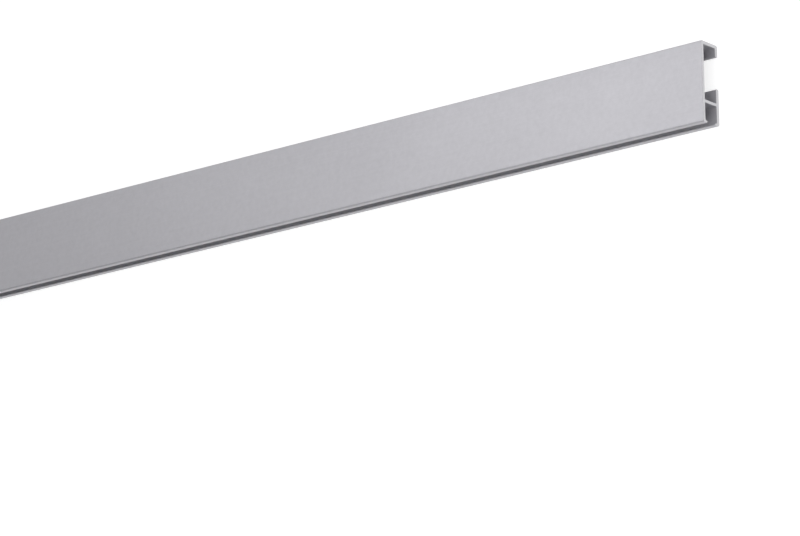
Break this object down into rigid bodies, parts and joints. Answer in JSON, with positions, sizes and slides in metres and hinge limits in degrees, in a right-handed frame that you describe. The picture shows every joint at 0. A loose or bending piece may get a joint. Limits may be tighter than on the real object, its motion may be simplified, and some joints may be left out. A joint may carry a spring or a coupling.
{
  "type": "picture rail moulding",
  "caption": "Extruded aluminium picture rail: a flat face plate with a rear channel that clicks over wall clips and a downward slot for hangers.",
  "frame": {"origin": "centre of the rail's footprint, on the rear face that lies on the floor or goes against the wall", "axes": "+X along the rail, +Y towards the edge that is at the top when the rail is on a wall, +Z out of the front face"},
  "size_m": [1, 0.025, 0.008],
  "materials": {
    "anodised_aluminium": "satin natural anodised"
  },
  "bodies": {
    "root": {"rail": "anodised_aluminium"}
  },
  "joints": []
}
